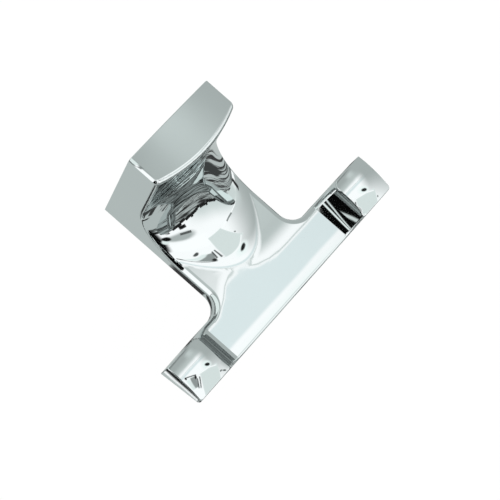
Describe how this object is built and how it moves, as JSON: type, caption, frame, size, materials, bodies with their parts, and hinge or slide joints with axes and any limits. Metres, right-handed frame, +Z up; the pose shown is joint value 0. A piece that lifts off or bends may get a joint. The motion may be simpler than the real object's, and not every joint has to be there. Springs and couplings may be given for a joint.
{
  "type": "double robe hook",
  "caption": "Chrome-plated double robe hook: a square wall block whose arched neck sweeps down to a level cross arm with upturned crowned tips, on a concealed bracket.",
  "frame": {"origin": "on the wall plane, midway between the bracket's two screw holes", "axes": "+X along the arms, +Y into the wall, +Z up; the hook stands out towards -Y"},
  "size_m": [0.09, 0.0584, 0.0406],
  "materials": {
    "polished_chrome": "mirror-polished chrome plate",
    "bracket_steel": "bright zinc-plated pressed steel",
    "screw_steel": "blackened steel"
  },
  "bodies": {
    "root": {"hook_body": "polished_chrome", "wall_bracket": "bracket_steel", "set_screw": "screw_steel"}
  },
  "joints": []
}
